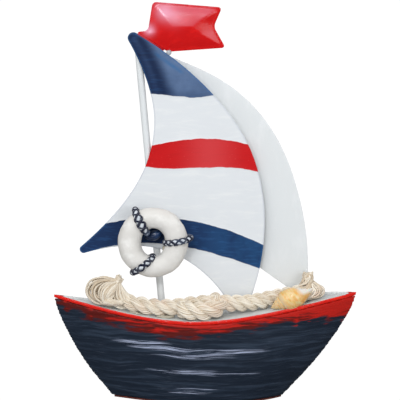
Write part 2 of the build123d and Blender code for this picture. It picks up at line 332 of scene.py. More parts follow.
def makeGlossPaint(name, look):
    material, tree, shader = startMaterial(name)
    strokes = placeGroup(tree, brushStrokes, {"Spacing": look["strokes"], "Cover": 0.5,
                                              "Softness": 0.3})
    cloud = placeGroup(tree, specks, {"Scale": 600.0, "Cover": 0.3})
    colour = mixColours(tree, strokes["Strokes"], look["dark"], look["light"])
    colour = mixColours(tree, mathNode(tree, "MULTIPLY", cloud["Specks"], 0.35), colour, look["worn"])
    if "lapped" in look:
        lap = placeGroup(tree, paintEdge, {"Reach": stored(tree, "innerSide"), "Wander": 0.25,
                                           "Spacing": (120, 120, 120), "Softness": 0.08})
        colour = mixColours(tree, lap["Painted"], colour, look["lapped"])
    # a painted highlight, stored on the mesh as a share, turns the colour towards a pale pink
    if "paintedHighlight" in look:
        colour = mixColours(tree, stored(tree, "paintedHighlight"), colour, look["paintedHighlight"])
    tree.links.new(colour, shader.inputs["Base Color"])
    tree.links.new(mathNode(tree, "MULTIPLY_ADD", cloud["Cloud"], 0.18, look["roughness"]),
                   shader.inputs["Roughness"])
    height = mathNode(tree, "MULTIPLY_ADD", cloud["Cloud"], 0.8, strokes["Height"])
    addRelief(tree, shader, height, look["bump"], 0.0006)
    shader.inputs["Specular IOR Level"].default_value = look["specular"]
    shader.inputs["Coat Weight"].default_value = look["coat"]
    shader.inputs["Coat Roughness"].default_value = look.get("coatRoughness", 0.1)
    return material


def makeBandedTin(look):
    material, tree, shader = startMaterial("bandedTin")
    strokes = placeGroup(tree, brushStrokes, {"Spacing": (60, 60, 260), "Cover": 0.55,
                                              "Softness": 0.35})
    streaks = placeGroup(tree, brushStrokes, {"Spacing": (95, 95, 800), "Cover": 0.5,
                                              "Softness": 0.14})
    cloud = placeGroup(tree, specks, {"Scale": 450.0, "Cover": 0.3})
    white = mixColours(tree, strokes["Strokes"], look["whiteShade"], look["white"])
    whiteEdge = addNode(tree, "ShaderNodeMapRange", {"Value": stored(tree, "edgeGap"),
                                                     "From Min": 0.0011, "From Max": 0.0002}
                        ).outputs["Result"]
    white = mixColours(tree, mathNode(tree, "MULTIPLY", whiteEdge, 0.35), white, look["edge"])
    navyWear = mathNode(tree, "MULTIPLY", streaks["Strokes"], 0.35)
    navy = mixColours(tree, navyWear, look["navy"], look["navyWorn"])
    # painted sheen: paler steel blue on the head where it would catch the light
    sheen = mathNode(tree, "MULTIPLY", stored(tree, "paintedHeadSheen"),
                     mathNode(tree, "MULTIPLY_ADD", cloud["Cloud"], 1.2, 0.3), clamp=True)
    navy = mixColours(tree, sheen, navy, look["steelSheen"])
    # a bright blue streak on the head, partly a paint streak and partly a painted highlight
    streakAndHighlight = mathNode(tree, "MULTIPLY", stored(tree, "headStreak"),
                     mathNode(tree, "MULTIPLY_ADD", cloud["Cloud"], 3.0, -1.1, clamp=True))
    streakAndHighlight = mathNode(tree, "MULTIPLY", streakAndHighlight, 0.8)
    navy = mixColours(tree, streakAndHighlight, navy, look["blueStreakHighlight"])
    # painted shade: darker navy along the folded luff, in a band beside it and at its crease
    bend = stored(tree, "paintedHeadShade")
    navy = mixColours(tree, bend, navy, look["navyShade"])
    rub = mathNode(tree, "MULTIPLY", whiteEdge, 0.4)
    navy = mixColours(tree, rub, navy, look["blueEdge"])
    # painted highlight: a paler middle on the red band and paler blue patches towards the right of the
    # foot band
    glow = stored(tree, "paintedBandHighlight")
    patchyHighlight = mathNode(tree, "MULTIPLY", glow, mathNode(tree, "MULTIPLY_ADD", cloud["Cloud"], 3.2, -0.8,
                                                       clamp=True))
    navy = mixColours(tree, patchyHighlight, navy, look["blueStreakHighlight"])
    red = mixColours(tree, mathNode(tree, "MULTIPLY", streaks["Strokes"], 0.3), look["red"],
                     look["redDeep"])
    red = mixColours(tree, glow, red, look["redWearAndHighlight"])
    red = mixColours(tree, mathNode(tree, "MULTIPLY", cloud["Specks"], 0.5), red, look["redWearAndHighlight"])
    colour = white
    beads = None
    for name, tint in (("headBand", navy), ("footBand", navy), ("redBand", red)):
        edge = placeGroup(tree, paintEdge, {"Reach": stored(tree, name), "Wander": 0.0007,
                                            "Spacing": (140, 0, 140), "Softness": 0.00022})
        colour = mixColours(tree, edge["Painted"], colour, tint)
        part = mathNode(tree, "MULTIPLY_ADD", edge["Bead"], 0.6, mathNode(
            tree, "MULTIPLY", edge["Painted"], 0.5))
        beads = part if beads is None else mathNode(tree, "ADD", beads, part)
    tree.links.new(colour, shader.inputs["Base Color"])
    tree.links.new(mathNode(tree, "MULTIPLY_ADD", cloud["Cloud"], 0.25, look["roughness"]),
                   shader.inputs["Roughness"])
    height = mathNode(tree, "ADD", beads, mathNode(tree, "MULTIPLY", streaks["Height"], 0.4))
    addRelief(tree, shader, height, 0.35, 0.0004)
    shader.inputs["Specular IOR Level"].default_value = 0.2
    shader.inputs["Coat Weight"].default_value = 0.12
    shader.inputs["Coat Roughness"].default_value = 0.2
    return material


def makeCotton(name, look):
    material, tree, shader = startMaterial(name)
    tone = stored(tree, "tone")
    place = addNode(tree, "ShaderNodeTexCoord").outputs["Object"]
    fluff = addNode(tree, "ShaderNodeTexNoise", {"Vector": place, "Scale": 900.0, "Detail": 3.0,
                                                 "Roughness": 0.7}).outputs["Fac"]
    stain = addNode(tree, "ShaderNodeTexNoise", {"Vector": place, "Scale": 55.0, "Detail": 2.0}
                    ).outputs["Fac"]
    share = mathNode(tree, "MULTIPLY_ADD", mathNode(tree, "SUBTRACT", fluff, 0.5), 0.5, tone,
                     clamp=True)
    colour = mixColours(tree, share, look["dark"], look["light"])
    blush = addNode(tree, "ShaderNodeMapRange", {"Value": stain, "From Min": 0.52, "From Max": 0.75}
                    ).outputs["Result"]
    colour = mixColours(tree, mathNode(tree, "MULTIPLY", blush, 0.45), colour, look["blush"])
    tree.links.new(colour, shader.inputs["Base Color"])
    tree.links.new(mathNode(tree, "MULTIPLY_ADD", fluff, 0.15, 0.78), shader.inputs["Roughness"])
    addRelief(tree, shader, fluff, 0.5, 0.0003)
    shader.inputs["Sheen Weight"].default_value = look["sheen"]
    shader.inputs["Sheen Roughness"].default_value = 0.5
    shader.inputs["Specular IOR Level"].default_value = 0.2
    return material


def makeShellFinish(look):
    material, tree, shader = startMaterial("seaShell")
    around = stored(tree, "aroundWhorl")
    along = stored(tree, "alongWhorl")
    lip = stored(tree, "lip")
    cloud = placeGroup(tree, specks, {"Scale": 900.0, "Cover": 0.9})
    grid = addNode(tree, "ShaderNodeCombineXYZ", {
        "X": mathNode(tree, "MULTIPLY", around, 26.0), "Y": mathNode(tree, "MULTIPLY", along, 9.0),
    }).outputs[0]
    grain = addNode(tree, "ShaderNodeTexNoise", {"Vector": grid, "Scale": 1.0, "Detail": 3.0,
                                                 "Roughness": 0.65}).outputs["Fac"]
    warm = addNode(tree, "ShaderNodeMapRange", {"Value": grain, "From Min": 0.42, "From Max": 0.62}
                   ).outputs["Result"]
    colour = mixColours(tree, warm, look["cream"], look["gold"])
    deep = addNode(tree, "ShaderNodeMapRange", {"Value": cloud["Cloud"], "From Min": 0.5,
                                                "From Max": 0.72}).outputs["Result"]
    colour = mixColours(tree, mathNode(tree, "MULTIPLY", deep, 0.7), colour, look["orange"])
    seam = addNode(tree, "ShaderNodeMapRange", {"Value": around, "From Min": 0.13, "From Max": 0.03}
                   ).outputs["Result"]
    colour = mixColours(tree, seam, colour, look["suture"])
    colour = mixColours(tree, lip, colour, look["lip"])
    tree.links.new(colour, shader.inputs["Base Color"])
    tree.links.new(mathNode(tree, "MULTIPLY_ADD", grain, 0.25, 0.22), shader.inputs["Roughness"])
    addRelief(tree, shader, grain, 0.5, 0.0005)
    shader.inputs["Coat Weight"].default_value = 0.3
    shader.inputs["Coat Roughness"].default_value = 0.15
    shader.inputs["Subsurface Weight"].default_value = 0.15
    shader.inputs["Subsurface Scale"].default_value = 0.002
    return material


def makeBoardWood(look):
    material, tree, shader = startMaterial("boardWood")
    grain = placeGroup(tree, brushStrokes, {"Spacing": (30, 600, 900), "Cover": 0.5, "Softness": 0.3})
    pores = placeGroup(tree, brushStrokes, {"Spacing": (90, 2500, 2500), "Cover": 0.4,
                                            "Softness": 0.1})
    colour = mixColours(tree, grain["Strokes"], look["dark"], look["light"])
    colour = mixColours(tree, mathNode(tree, "MULTIPLY", pores["Strokes"], 0.5), colour, look["pore"])
    tree.links.new(colour, shader.inputs["Base Color"])
    tree.links.new(mathNode(tree, "MULTIPLY_ADD", grain["Height"], 0.2, 0.55),
                   shader.inputs["Roughness"])
    addRelief(tree, shader, pores["Height"], 0.4, 0.0005)
    return material


# the palest colour is dry-brush paint that also stands for painted reflections
hullPaint = makeHullPaint({
    "deep": paint(28, 38, 52), "slate": paint(46, 58, 74), "worn": paint(80, 90, 106),
    "brown": paint(94, 22, 18), "red": paint(190, 28, 18), "chalkAndSheen": paint(178, 188, 214),
})
rimPaint = makeGlossPaint("rimPaint", {
    "dark": paint(222, 26, 14), "light": paint(248, 54, 30), "worn": paint(252, 140, 100),
    "strokes": (40, 120, 300), "roughness": 0.2, "bump": 0.35, "coat": 0.6, "specular": 0.2,
    "lapped": paint(222, 225, 224),
})
deckPaint = makeGlossPaint("deckPaint", {
    "dark": paint(214, 217, 217), "light": paint(232, 234, 232), "worn": paint(176, 178, 174),
    "strokes": (40, 500, 60), "roughness": 0.4, "bump": 0.4, "coat": 0.1,
    "specular": 0.3,
})
whiteTin = makeGlossPaint("whiteTin", {
    "dark": paint(224, 227, 227), "light": paint(231, 233, 233), "worn": paint(204, 208, 212),
    "strokes": (160, 160, 45), "roughness": 0.38, "bump": 0.2, "coat": 0.15,
    "specular": 0.4,
})
# the last colour is a painted highlight, a pale pink where a lamp would reflect
flagPaint = makeGlossPaint("flagPaint", {
    "dark": paint(206, 4, 6), "light": paint(222, 14, 12), "worn": paint(228, 60, 56),
    "strokes": (120, 120, 200), "roughness": 0.3, "bump": 0.12, "coat": 0.75,
    "specular": 0.05, "coatRoughness": 0.22, "paintedHighlight": paint(240, 176, 200),
})
# the steel blue is a painted sheen, the deepest navy a painted shade, and the pale blue and pale red also
# paint highlights
bandedTin = makeBandedTin({
    "white": paint(230, 232, 232), "whiteShade": paint(222, 225, 227), "edge": paint(168, 175, 190),
    "navy": paint(22, 48, 88), "navyWorn": paint(42, 86, 138), "steelSheen": paint(96, 120, 156),
    "blueEdge": paint(46, 104, 160), "blueStreakHighlight": paint(34, 100, 154),
    "navyShade": paint(12, 26, 56), "red": paint(200, 6, 12), "redDeep": paint(182, 4, 10),
    "redWearAndHighlight": paint(224, 92, 96), "roughness": 0.32,
})
resin = makeGlossPaint("castResin", {
    "dark": paint(224, 221, 215), "light": paint(241, 239, 234), "worn": paint(208, 192, 166),
    "strokes": (90, 90, 120), "roughness": 0.45, "bump": 0.35, "coat": 0.08,
    "specular": 0.4,
})
solderMetal = makeGlossPaint("solderMetal", {
    "dark": paint(176, 178, 182), "light": paint(224, 226, 230), "worn": paint(120, 120, 124),
    "strokes": (300, 300, 300), "roughness": 0.25, "bump": 0.5, "coat": 0.2,
    "specular": 0.5,
})
darkGlue = makeGlossPaint("darkGlue", {
    "dark": paint(22, 42, 74), "light": paint(36, 68, 114), "worn": paint(60, 96, 142),
    "strokes": (120, 120, 120), "roughness": 0.3, "bump": 0.0, "coat": 0.5,
    "specular": 0.2, "coatRoughness": 0.25,
})
clearGlue = makeGlossPaint("clearGlue", {
    "dark": paint(186, 178, 158), "light": paint(218, 212, 196), "worn": paint(150, 138, 112),
    "strokes": (150, 150, 150), "roughness": 0.2, "bump": 0.25, "coat": 0.5,
    "specular": 0.5,
})
cotton = makeCotton("cottonRope", {
    "dark": paint(202, 182, 154), "light": paint(246, 238, 222), "blush": paint(234, 200, 178),
    "sheen": 0.25,
})
wrapCord = makeCotton("wrapCord", {
    "dark": paint(14, 20, 46), "light": paint(214, 220, 226), "blush": paint(130, 150, 182),
    "sheen": 0.15,
})
shellFinish = makeShellFinish({
    "gold": paint(232, 178, 92), "cream": paint(236, 206, 146), "orange": paint(218, 146, 66),
    "suture": paint(230, 204, 164), "lip": paint(232, 228, 218),
})
boardWood = makeBoardWood({
    "light": paint(128, 52, 34), "dark": paint(92, 34, 24), "pore": paint(56, 24, 20),
})
print("finishes made")


# ---- hull, base, rim and deck

hullSettings = {
    "cell": 0.85, "softening": 1, "relief": 0.22, "grain": (22.0, 12.0, 1.9),
    # how far the red is brushed down from the rim: x, depth
    "redDepth": [(-90, 5.0), (-70, 7.5), (-45, 9.5), (-20, 10.0), (10, 8.0), (40, 7.0), (62, 9.0),
                 (76, 13.0), (90, 14.0)],
    "redHeat": [(-90, 0.24), (-60, 0.31), (-10, 0.36), (40, 0.4), (70, 0.55), (90, 0.62)],
    # pale dry-brushed streaks, which also stand for painted reflections on the brush ridges: middle x,
    # middle z, half length, half height, share of cover
    "dryAndSheenPatches": [(-38, 38.0, 16, 1.3, 0.9), (-24, 35.2, 20, 1.3, 1.0), (8, 33.6, 27, 1.7, 0.8),
                   (-8, 30.4, 24, 1.1, 0.95), (-14, 21.0, 21, 1.2, 0.85), (14, 19.6, 18, 1.0, 0.55),
                   (-10, 9.8, 16, 0.8, 1.0), (-9, 7.4, 12, 0.7, 0.9)],
}
rimSettings = {"cell": 0.45, "softening": 4, "relief": 0.1, "grain": (5.0, 5.0, 3.0)}
deckSettings = {"cell": 0.9, "softening": 1, "relief": 0.1, "grain": (12.0, 4.0, 4.0)}


def sheerHeights():
    highest = {}
    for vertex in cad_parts["gunwale_rim"].data.vertices:
        column = round(vertex.co.x / (3 * mm))
        if column not in highest or vertex.co.z > highest[column][1]:
            highest[column] = (vertex.co.x, vertex.co.z)
    return zip(*sorted(highest.values()))


def buildHull(settings):
    mesh = carvedMesh("hull_body", settings)
    sheerX, sheerZ = sheerHeights()
    places = np.array([vertex.co for vertex in mesh.vertices])
    depth = np.interp(places[:, 0], sheerX, sheerZ) - places[:, 2]
    along, reach = zip(*settings["redDepth"])
    band = np.interp(places[:, 0] / mm, along, reach) * mm
    storeValues(mesh, "redBlend", band - depth)
    along, heat = zip(*settings["redHeat"])
    nearRim = np.clip(1 - depth / band, 0, 1)
    storeValues(mesh, "redHot", np.interp(places[:, 0] / mm, along, heat) + 0.3 * nearRim)
    dry = np.zeros(len(places))
    for middleX, middleZ, halfLength, halfHeight, cover in settings["dryAndSheenPatches"]:
        away = ((places[:, 0] / mm - middleX) / halfLength) ** 2
        away += ((places[:, 2] / mm - middleZ) / halfHeight) ** 2
        dry = np.maximum(dry, cover * np.clip(1.4 - away, 0, 1))
    storeValues(mesh, "dryBrushAndSheen", dry)
    newPiece("hullShape", mesh, hullPaint, "hull_paint", "hull_body")


buildHull(hullSettings)
rimMesh = carvedMesh("gunwale_rim", rimSettings)
innerSide = []
for vertex in rimMesh.vertices:
    inward = -math.copysign(1, vertex.co.y) * vertex.normal.y + 0.15 * abs(vertex.normal.z)
    innerSide.append(inward - max(abs(vertex.co.x / mm) - 85, 0) / 3)
storeValues(rimMesh, "innerSide", innerSide)
newPiece("rimBead", rimMesh, rimPaint, "rim_paint", "gunwale_rim")
newPiece("deckTop", carvedMesh("deck_board", deckSettings), deckPaint, "deck_paint", "deck_board")
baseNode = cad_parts["base_board"]
baseNode.data.materials.clear()
baseNode.data.materials.append(boardWood)
print("hull, rim and deck shaped")


# ---- mast and tin sails

mastSettings = {"segments": 40, "rings": 90, "relief": 0.07}
foreSailSettings = {
    "creaseShade": 209.0, "streak": ((-29.6, 209.7), (-13.0, 198.0)),
    "cell": 1.4, "edgeRound": 0.34, "wave": 0.5, "hemWidth": 3.0, "hemLift": 0.28,
    "headBottom": [(-31.7, 185.6), (-18.7, 184.6), (-5.1, 183.6), (4.7, 184.8)],
    "redTop": [(-31.3, 155.0), (-12.7, 158.3), (-0.6, 158.8), (14.6, 158.0), (25.2, 155.5)],
    "redBottom": [(-35.4, 142.7), (-28.1, 140.4), (-15.8, 141.5), (-0.6, 142.0), (14.7, 141.2),
                  (31.7, 139.3)],
    "footTop": [(-59.4, 107.7), (-47.2, 110.3), (-15.1, 110.3), (-0.6, 108.0), (14.8, 103.3),
                (35.1, 94.5)],
    "footBottom": [(-71.8, 90.1), (-51.1, 94.0), (-33.0, 96.7), (-9.7, 93.5), (7.1, 88.5),
                   (32.5, 80.4)],
}
aftSailSettings = {"cell": 2.5, "edgeRound": 0.34, "wave": 0.6, "hemWidth": 0.0, "hemLift": 0.0}


def buildMast(settings):
    low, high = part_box("mast")
    lean = math.radians(-5.0)
    depth = (high.z - low.z) / math.cos(lean)
    radius = (high.y - low.y) / 2
    bm = bmesh.new()
    bmesh.ops.create_cone(bm, cap_ends=True, segments=settings["segments"], radius1=radius,
                          radius2=radius, depth=depth - 0.2 * mm)
    sides = [edge for edge in bm.edges if abs(edge.verts[0].co.z - edge.verts[1].co.z) > radius]
    bmesh.ops.subdivide_edges(bm, edges=sides, cuts=settings["rings"], use_grid_fill=True)
    for vertex in bm.verts:
        drip = noise.noise(Vector((vertex.co.x / mm, vertex.co.y / mm, vertex.co.z / (7 * mm))))
        vertex.co.x *= 1 + drip * settings["relief"] / 2.1
        vertex.co.y *= 1 + drip * settings["relief"] / 2.1
    ends = [edge for edge in bm.edges if abs(edge.calc_face_angle(0)) > 1]
    bmesh.ops.bevel(bm, geom=ends, offset=0.5 * mm, affect="EDGES", segments=3, profile=0.5,
                    material=-1)
    bmesh.ops.rotate(bm, verts=bm.verts, cent=(0, 0, 0), matrix=Matrix.Rotation(lean, 3, "Y"))
    bmesh.ops.translate(bm, verts=bm.verts, vec=(low + high) / 2)
    newPiece("mastRod", finishMesh(bm, "mastRod"), whiteTin, "white_metal", "mast")


def smoothCurve(points, places):
    along, height = zip(*points)
    return np.polyval(np.polyfit(along, height, 3), places)


# Cuts along X and Z, one cell apart; spare leaves out that many at the high end.
def cutByGrid(bm, low, high, cell, spare=0):
    for axis in (0, 2):
        for step in range(1, int((high[axis] - low[axis]) / cell) + 1 - spare):
            middle = Vector((0, 0, 0))
            middle[axis] = low[axis] + step * cell
            across = Vector((0, 0, 0))
            across[axis] = 1
            bmesh.ops.bisect_plane(bm, geom=bm.verts[:] + bm.edges[:] + bm.faces[:], dist=1e-6,
                                   plane_co=middle, plane_no=across)


def tinSheet(nodeName, settings):
    bm = mergedCopy(nodeName)
    bmesh.ops.dissolve_limit(bm, angle_limit=math.radians(0.5), verts=bm.verts, edges=bm.edges)
    largest = max(bm.faces, key=lambda face: face.calc_area())
    outline = [(vertex.co.x, vertex.co.z) for vertex in largest.verts]
    edges = [edge for edge in bm.edges if edge.calc_face_angle(0) > math.radians(80)]
    edges = [edge for edge in edges if abs(edge.verts[0].co.y - edge.verts[1].co.y) < 0.1 * mm]
    bmesh.ops.bevel(bm, geom=edges, offset=settings["edgeRound"] * mm, affect="EDGES", segments=2,
                    profile=0.5, material=-1, clamp_overlap=True)
    low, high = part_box(nodeName)
    cutByGrid(bm, low, high, settings["cell"] * mm, spare=1)
    flat = np.array([(vertex.co.x, vertex.co.z) for vertex in bm.verts])
    gaps = gapToOutline(flat, outline)
    luffX = {}
    for x, z in outline:
        row = round(z / (4 * mm))
        luffX[row] = min(luffX.get(row, (1, 0)), (x, z))
    luffX, luffZ = zip(*sorted(luffX.values(), key=lambda pair: pair[1]))
    luffGap = flat[:, 0] - np.interp(flat[:, 1], luffZ, luffX)
    middleY = (low.y + high.y) / 2
    for vertex, gap, fromLuff in zip(bm.verts, gaps, luffGap):
        place = Vector((vertex.co.x / (38 * mm), 0.3, vertex.co.z / (52 * mm)))
        held = min(max((gap - 2 * mm) / (14 * mm), 0), 1)
        vertex.co.y += noise.noise(place) * settings["wave"] * mm * held
        if vertex.co.y < middleY and fromLuff < settings["hemWidth"] * mm and vertex.co.z > 150 * mm:
            vertex.co.y -= settings["hemLift"] * mm
    mesh = finishMesh(bm, nodeName + "Sheet")
    storeValues(mesh, "edgeGap", gaps)
    return mesh, flat / mm, luffGap / mm


def buildForeSail(settings):
    mesh, flat, luffGap = tinSheet("fore_sail", settings)
    x, z = flat[:, 0], flat[:, 1]
    storeValues(mesh, "headBand", (z - smoothCurve(settings["headBottom"], x)) * mm)
    redTop = smoothCurve(settings["redTop"], x)
    redBottom = smoothCurve(settings["redBottom"], x)
    storeValues(mesh, "redBand", np.minimum(redTop - z, z - redBottom) * mm)
    footTop = smoothCurve(settings["footTop"], x)
    footBottom = smoothCurve(settings["footBottom"], x)
    storeValues(mesh, "footBand", np.minimum(footTop - z, z - footBottom) * mm)
    # painted highlight: a paler middle on the red band, paler towards the right on the foot band, none on
    # the head
    glow = np.where(z > 125, 0.36 * np.exp(-((x - 3) / 14) ** 2), 0.28 * np.clip((x + 12) / 22, 0, 1))
    storeValues(mesh, "paintedBandHighlight", np.where(z > 175, 0, glow))
    # painted sheen and painted shade on the head: paler further than 8 mm from the folded luff and in a
    # faint line 4.6 mm in from it; darker along the luff, in a band about 8 mm in, and in a painted shadow
    # line across the crease
    sheen = np.clip((luffGap - 8) / 8.0, 0, 1) * np.clip((z - 178) / 12, 0, 1)
    sheen += 0.12 * np.exp(-((luffGap - 4.6) / 1.3) ** 2) * np.clip((z - 186) / 14, 0, 1)
    storeValues(mesh, "paintedHeadSheen", np.clip(sheen, 0, 0.85))
    shade = 0.8 * np.clip(1 - luffGap / 3.0, 0, 1) + 0.55 * np.exp(-((luffGap - 8.0) / 4.0) ** 2)
    shade *= np.clip((z - 178) / 8, 0, 1)
    shade += 0.7 * np.exp(-((z - settings["creaseShade"]) / 0.7) ** 2) * np.clip(1 - luffGap / 8, 0, 1)
    storeValues(mesh, "paintedHeadShade", np.clip(shade, 0, 0.9))
    # a bright blue streak along the leech, partly a paint streak and partly a painted highlight on the
    # head's curve
    (startX, startZ), (endX, endZ) = settings["streak"]
    run = np.array([endX - startX, endZ - startZ])
    share = ((x - startX) * run[0] + (z - startZ) * run[1]) / run.dot(run)
    away = np.abs((x - startX) * run[1] - (z - startZ) * run[0]) / math.hypot(*run)
    streak = np.clip(1.3 - away / 1.2, 0, 1) * np.clip(6 * (0.5 - abs(share - 0.5)) + 0.4, 0, 1)
    storeValues(mesh, "headStreak", streak)
    newPiece("foreSail", mesh, bandedTin, "banded_metal", "fore_sail")


def buildAftSail(settings):
    mesh = tinSheet("aft_sail", settings)[0]
    newPiece("aftSail", mesh, whiteTin, "white_metal", "aft_sail")


buildMast(mastSettings)
buildForeSail(foreSailSettings)
buildAftSail(aftSailSettings)
print("mast and sails cut")


# ---- pennant

flagSettings = {
    "corners": [(-40.8, 222.2), (-33.7, 222.9), (-30.9, 239.9), (10.0, 236.6), (5.1, 225.3),
                (12.1, 212.9), (-22.1, 210.5)],
    "cornerRound": 2.3, "cell": 1.0, "thickness": 0.7, "flange": 1.5, "rise": 4.2, "slope": 9.0,
    # spots of painted highlight: middle x, middle z, reach, share
    "paintedHighlight": [(-24.5, 234.0, 5.0, 0.5), (-33.0, 223.5, 3.2, 0.65), (-18.0, 231.0, 5.0, 0.2)],
    "tab": [(-40.0, 221.8), (-23.7, 211.6), (-27.5, 210.2), (-39.5, 217.5)],
}


def flatSheet(corners, cornerRound, y):
    bm = bmesh.new()
    face = bm.faces.new([bm.verts.new((x * mm, y, z * mm)) for x, z in corners])
    bmesh.ops.bevel(bm, geom=list(face.verts), offset=cornerRound * mm, affect="VERTICES",
                    segments=5, profile=0.5, material=-1)
    bmesh.ops.recalc_face_normals(bm, faces=bm.faces)
    if max(bm.faces, key=lambda each: each.calc_area()).normal.y > 0:
        bmesh.ops.reverse_faces(bm, faces=bm.faces)
    return bm


def buildFlag(settings):
    low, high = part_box("flag")
    back = high.y - settings["thickness"] * mm
    bm = flatSheet(settings["corners"], settings["cornerRound"], back)
    largest = max(bm.faces, key=lambda face: face.calc_area())
    outline = [(vertex.co.x, vertex.co.z) for vertex in largest.verts]
    cutByGrid(bm, low, high, settings["cell"] * mm)
    flat = np.array([(vertex.co.x, vertex.co.z) for vertex in bm.verts])
    for vertex, gap in zip(bm.verts, gapToOutline(flat, outline) / mm):
        inside = max(gap - settings["flange"], 0)
        dent = noise.noise(Vector((vertex.co.x / (9 * mm), 0.0, vertex.co.z / (7 * mm)))) * 0.25
        rise = settings["rise"] * (1 - math.exp(-inside / settings["slope"]))
        vertex.co.y -= (rise + dent * min(inside / 4, 1)) * mm
    bmesh.ops.recalc_face_normals(bm, faces=bm.faces)
    if max(bm.faces, key=lambda face: face.calc_area()).normal.y > 0:
        bmesh.ops.reverse_faces(bm, faces=bm.faces)
    bmesh.ops.solidify(bm, geom=bm.faces[:], thickness=settings["thickness"] * mm)
    tab = flatSheet(settings["tab"], 0.8, back)
    bmesh.ops.solidify(tab, geom=tab.faces[:], thickness=settings["thickness"] * mm)
    tabMesh = finishMesh(tab, "flagTab")
    bm.from_mesh(tabMesh)
    mesh = finishMesh(bm, "pennant")
    # painted highlight: slopes that face up and forward, and a few spots, are turned pale pink where a
    # lamp's reflection would be
    paintedHighlight = []
    for vertex in mesh.vertices:
        x, z = vertex.co.x / mm, vertex.co.z / mm
        upFacingHighlight = min(max((vertex.normal.z - 0.06) / 0.2, 0), 1) if vertex.normal.y < 0 else 0
        highlightSpots = [share * math.exp(-((x - middleX) ** 2 + (z - middleZ) ** 2) / reach ** 2)
                  for middleX, middleZ, reach, share in settings["paintedHighlight"]]
        paintedHighlight.append(min(0.22 * upFacingHighlight * min(max((10 - x) / 8, 0), 1) + sum(highlightSpots), 0.9))
    storeValues(mesh, "paintedHighlight", paintedHighlight)
    newPiece("pennant", mesh, flagPaint, "flag_paint", "flag")


buildFlag(flagSettings)
print("pennant pressed")


# ---- solder and glue

dropSettings = {"cell": 0.3, "softening": 2, "relief": 0.12, "grain": (1.2, 1.2, 1.2)}
deckDropSettings = {"cell": 0.45, "softening": 3, "relief": 0.2, "grain": (2.5, 2.5, 2.0)}
beanSettings = {"size": (5.9, 4.4, 3.0), "bend": 2.0, "tilt": 18.0, "lump": 0.12}


def buildGlueBean(settings):
    low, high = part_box("lifebuoy_glue")
    bm = bmesh.new()
    bmesh.ops.create_icosphere(bm, subdivisions=5, radius=1.0)
    wide, deep, tall = settings["size"]
    for vertex in bm.verts:
        share = vertex.co.x
        swell = 1 + settings["lump"] * noise.noise(vertex.co * 1.7)
        arch = settings["bend"] * (share * share - 0.5) * 0.6
        place = Vector((vertex.co.x * wide, vertex.co.y * deep, vertex.co.z * tall + arch))
        vertex.co = place * swell * mm
    bmesh.ops.rotate(bm, verts=bm.verts, cent=(0, 0, 0),
                     matrix=Matrix.Rotation(math.radians(-settings["tilt"]), 3, "Y"))
    middle = (low + high) / 2
    bmesh.ops.translate(bm, verts=bm.verts, vec=(middle.x, high.y - deep * 0.86 * mm, middle.z - 0.9 * mm))
    newPiece("glueBean", finishMesh(bm, "glueBean"), darkGlue, "glue", "lifebuoy_glue")


buildGlueBean(beanSettings)
for nodeName in ("fore_sail_solder", "aft_sail_solder", "flag_solder"):
    newPiece(nodeName + "Drop", carvedMesh(nodeName, dropSettings), solderMetal, "solder", nodeName)
for nodeName in ("wrap_glue", "rope_glue", "shell_glue"):
    newPiece(nodeName + "Drop", carvedMesh(nodeName, deckDropSettings), clearGlue, "glue", nodeName)
print("solder and glue placed")


# ---- lifebuoy

buoySettings = {
    "profileSides": 40, "steps": 120, "lump": 0.45, "innerSwell": 1.5,
}
wrapSettings = {
    "points": 150, "sink": 0.55, "turns": 6,
    # each strand: how far from the cord's middle, its radius, which way it turns, start, tone
    "strands": [(0.55, 0.98, 1, 0.0, 1.0), (0.55, 0.98, 1, 3.14, 0.86),
                (1.22, 0.66, 1, 1.57, 0.04), (1.22, 0.66, 1, 4.71, 0.0),
                (1.36, 0.54, -1, 0.3, 0.0), (1.36, 0.54, -1, 3.44, 0.08)],
    "wander": 0.55,
    "wraps": {
        "lifebuoy_wrap_bow": {"swell": 1.75, "phase": 0.4, "turned": 2.0},
        "lifebuoy_wrap_stern": {"swell": 1.12, "phase": 1.3, "turned": -4.8},
        "lifebuoy_wrap_foot": {"swell": 1.25, "phase": 2.2, "turned": 27.0},
    },
}


def buildBuoy(settings):
    low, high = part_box("lifebuoy_ring")
    middle = (low + high) / 2
    tube = (high.y - low.y) / 2
    ring = (high.x - low.x) / 2 - tube
    bm = bmesh.new()
    made = bmesh.ops.create_circle(bm, cap_ends=False, segments=settings["profileSides"], radius=tube)
    bmesh.ops.translate(bm, verts=made["verts"], vec=(ring, 0, 0))
    bmesh.ops.spin(bm, geom=bm.edges[:], cent=(0, 0, 0), axis=(0, 1, 0), dvec=(0, 0, 0),
                   angle=math.radians(360), steps=settings["steps"], use_merge=True)
    # the circle starts flat in X and Y, which is the ring's own cross-section
    bmesh.ops.remove_doubles(bm, verts=bm.verts, dist=0.01 * mm)
    bmesh.ops.recalc_face_normals(bm, faces=bm.faces)
    bm.normal_update()
    for vertex in bm.verts:
        lump = noise.fractal(vertex.co / (13 * mm), 0.9, 2.1, 3) * settings["lump"]
        fine = noise.noise(vertex.co / (3.2 * mm)) * 0.09
        out = math.hypot(vertex.co.x, vertex.co.z)
        inner = max((ring - out) / tube, 0) * (vertex.co.x / out) ** 2 * settings["innerSwell"]
        vertex.co += vertex.normal * (lump + fine - 0.12 + inner) * mm
    bmesh.ops.translate(bm, verts=bm.verts, vec=middle)
    newPiece("buoyRing", finishMesh(bm, "buoyRing"), resin, "resin", "lifebuoy_ring")
    return middle, ring, tube


